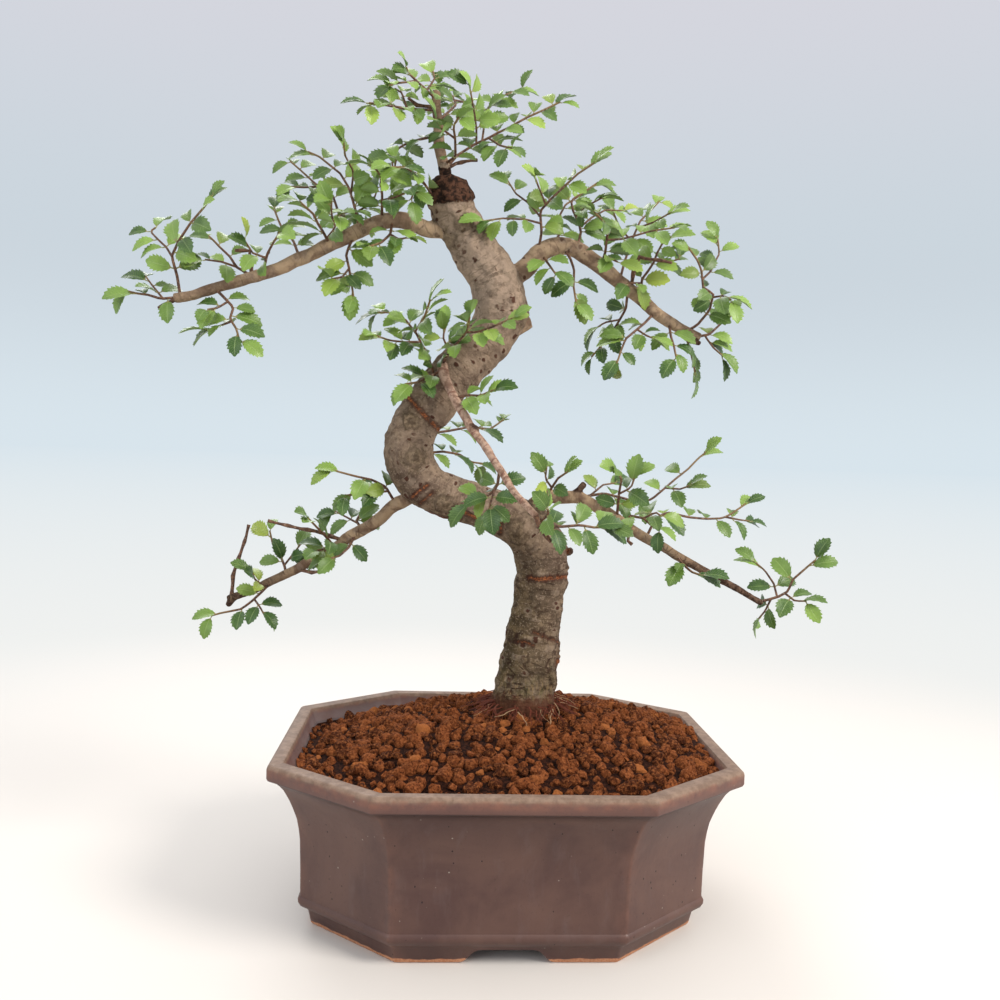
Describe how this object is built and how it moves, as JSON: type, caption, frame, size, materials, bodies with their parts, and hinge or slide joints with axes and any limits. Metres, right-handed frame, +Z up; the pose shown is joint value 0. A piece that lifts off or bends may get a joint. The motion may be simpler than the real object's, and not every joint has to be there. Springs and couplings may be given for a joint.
{
  "type": "chinese elm bonsai",
  "caption": "Chinese elm bonsai with an S-shaped trunk and small toothed leaves, standing in granular soil in a glazed octagonal pot.",
  "frame": {"origin": "midway across and deep of the whole bonsai, on the surface under the feet of the pot", "axes": "+Z up through the tree, +X to the right, the long front of the pot towards -Y"},
  "size_m": [0.323, 0.165, 0.3871],
  "materials": {
    "glaze": "dark plum-brown mottled satin glaze, bare terracotta at the edge of the feet",
    "plastic": "matt black drainage mesh",
    "soil": "matt red-brown granules of baked clay",
    "bark": "grey-brown bark with rust-red scars and small pores",
    "leaf": "satin green leaves on thin brown twigs"
  },
  "bodies": {
    "root": {"pot": "glaze", "mesh_left": "plastic", "mesh_right": "plastic", "soil": "soil", "trunk_and_branches": "bark", "spray_crown_tip": "leaf", "spray_crown_left": "leaf", "spray_crown_left_low": "leaf", "spray_crown_back": "leaf", "spray_crown_centre": "leaf", "spray_crown_right": "leaf", "spray_collar_left": "leaf", "spray_upper_left_tip": "leaf", "spray_upper_left_fork": "leaf", "spray_upper_left_rise": "leaf", "spray_upper_left_mid": "leaf", "spray_upper_left_back": "leaf", "spray_upper_left_hang": "leaf", "spray_upper_left_front": "leaf", "spray_upper_left_drop": "leaf", "spray_upper_left_crest": "leaf", "spray_upper_left_inner": "leaf", "spray_upper_left_far": "leaf", "spray_upper_left_under": "leaf", "spray_upper_right_crown": "leaf", "spray_upper_right_back": "leaf", "spray_upper_right_crest": "leaf", "spray_upper_right_mid": "leaf", "spray_upper_right_far": "leaf", "spray_upper_right_stem": "leaf", "spray_upper_right_tall": "leaf", "spray_upper_right_tip": "leaf", "spray_upper_right_low": "leaf", "spray_upper_right_hang": "leaf", "spray_upper_right_under": "leaf", "spray_upper_right_drop": "leaf", "spray_upper_right_thread": "leaf", "spray_upper_right_root": "leaf", "spray_lower_right_root": "leaf", "spray_lower_right_top": "leaf", "spray_lower_right_rise": "leaf", "spray_lower_right_mid": "leaf", "spray_lower_right_far": "leaf", "spray_lower_right_under": "leaf", "spray_lower_right_tip": "leaf", "spray_lower_left_top": "leaf", "spray_lower_left_rise": "leaf", "spray_lower_left_mid": "leaf", "spray_lower_left_under": "leaf", "spray_lower_left_out": "leaf", "spray_lower_left_tip": "leaf", "spray_front_top": "leaf", "spray_front_left": "leaf", "spray_front_low": "leaf", "spray_front_mid": "leaf", "spray_front_side": "leaf", "spray_front_tip": "leaf", "spray_back_upper": "leaf", "spray_back_lower": "leaf"}
  },
  "joints": []
}
